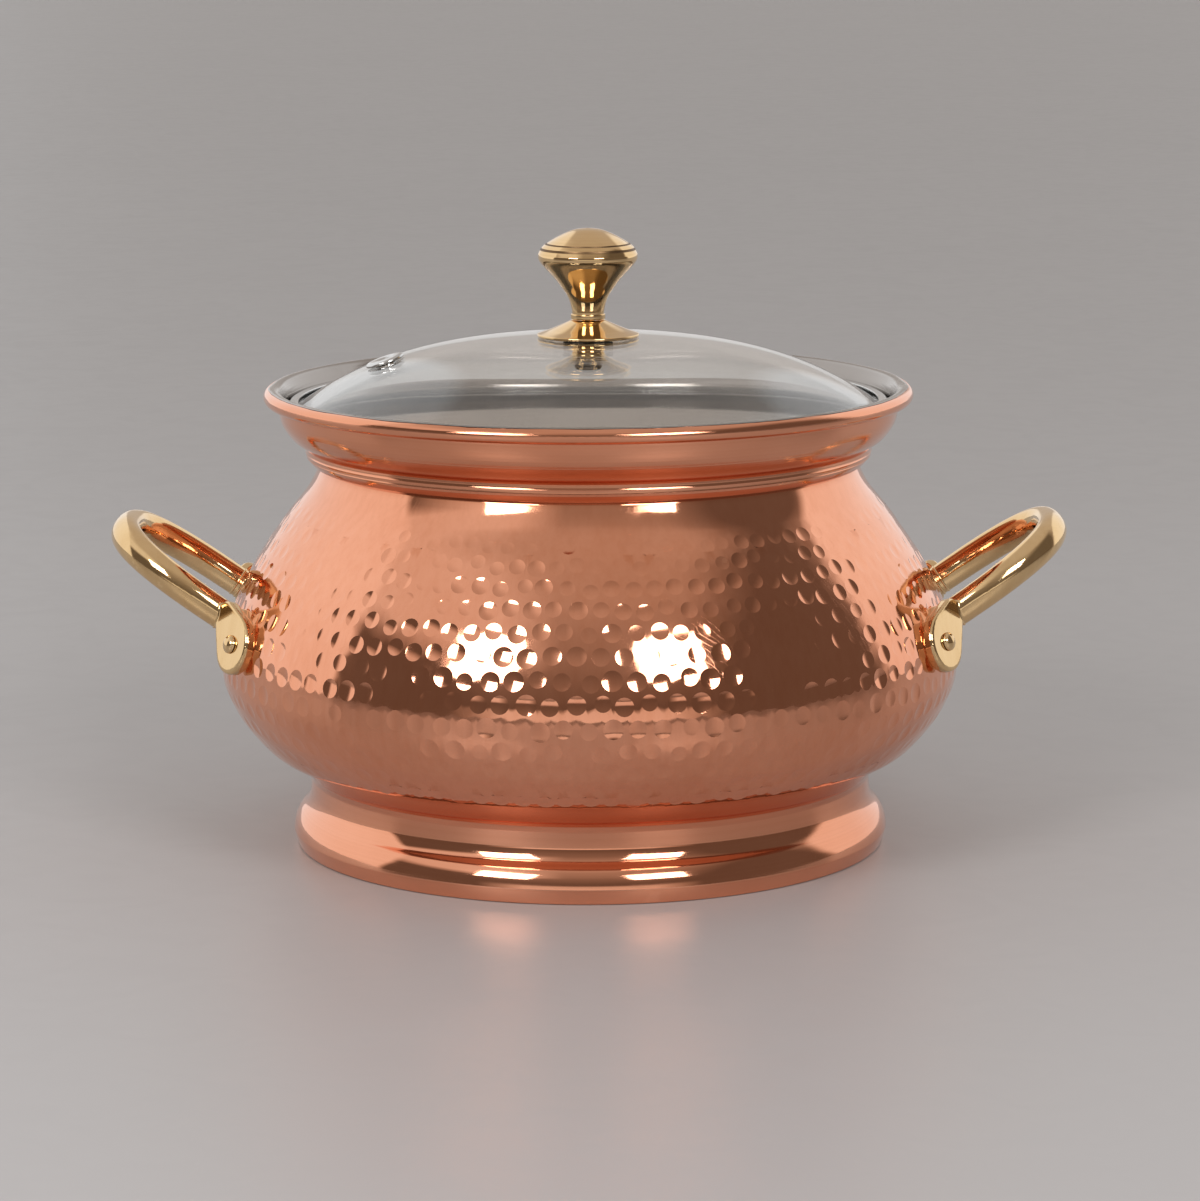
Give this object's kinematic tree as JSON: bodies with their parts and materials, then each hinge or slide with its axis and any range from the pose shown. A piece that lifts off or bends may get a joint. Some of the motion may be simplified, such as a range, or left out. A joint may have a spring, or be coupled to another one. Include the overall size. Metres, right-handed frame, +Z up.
{
  "type": "lidded serving pot",
  "caption": "Hammered copper handi: pot-bellied bowl on a spun foot, tin lining, brass loop handles, and a domed glass lid with a turned brass knob.",
  "frame": {"origin": "centre of the foot, on the surface that the pot stands on", "axes": "+Z up along the pot's axis, +X towards one handle and -X towards the other, -Y towards the viewer of the picture"},
  "size_m": [0.2922, 0.2264, 0.1889],
  "materials": {
    "hammered_copper": "hand hammered and polished copper",
    "spun_copper": "spun copper, polished with fine turning lines",
    "tin": "wiped tin, satin grey",
    "steel_wire": "drawn steel wire",
    "cast_brass": "cast brass, polished",
    "rivet_brass": "peened brass",
    "turned_brass": "turned brass, polished",
    "lid_glass": "clear tempered glass, faintly green",
    "lid_steel": "polished stainless steel strip",
    "screw_steel": "bright steel",
    "gasket_rubber": "black silicone"
  },
  "bodies": {
    "pot": {"copper_body": "hammered_copper", "tin_lining": "tin", "rim_wire": "steel_wire", "foot_ring": "spun_copper", "handle_right": "cast_brass", "handle_left": "cast_brass", "handle_rivet_right_front": "rivet_brass", "handle_rivet_right_rear": "rivet_brass", "handle_rivet_left_front": "rivet_brass", "handle_rivet_left_rear": "rivet_brass"},
    "knob_set": {"knob": "turned_brass", "knob_cone": "turned_brass", "knob_screw": "screw_steel", "knob_washer": "screw_steel", "gasket_upper": "gasket_rubber", "gasket_lower": "gasket_rubber"},
    "lid": {"lid_glass": "lid_glass", "lid_band": "lid_steel", "vent_eyelet": "lid_steel", "vent_ring": "lid_steel"}
  },
  "joints": [
    {"name": "lid_lift", "type": "slide", "parent": "pot", "child": "knob_set", "axis": [0, 0, 1], "range_m": [0, 0.1]},
    {"name": "lid_turn", "type": "hinge", "parent": "knob_set", "child": "lid", "pos_m": [0, 0, 0.15], "axis": [0, 0, 1], "continuous": true}
  ]
}
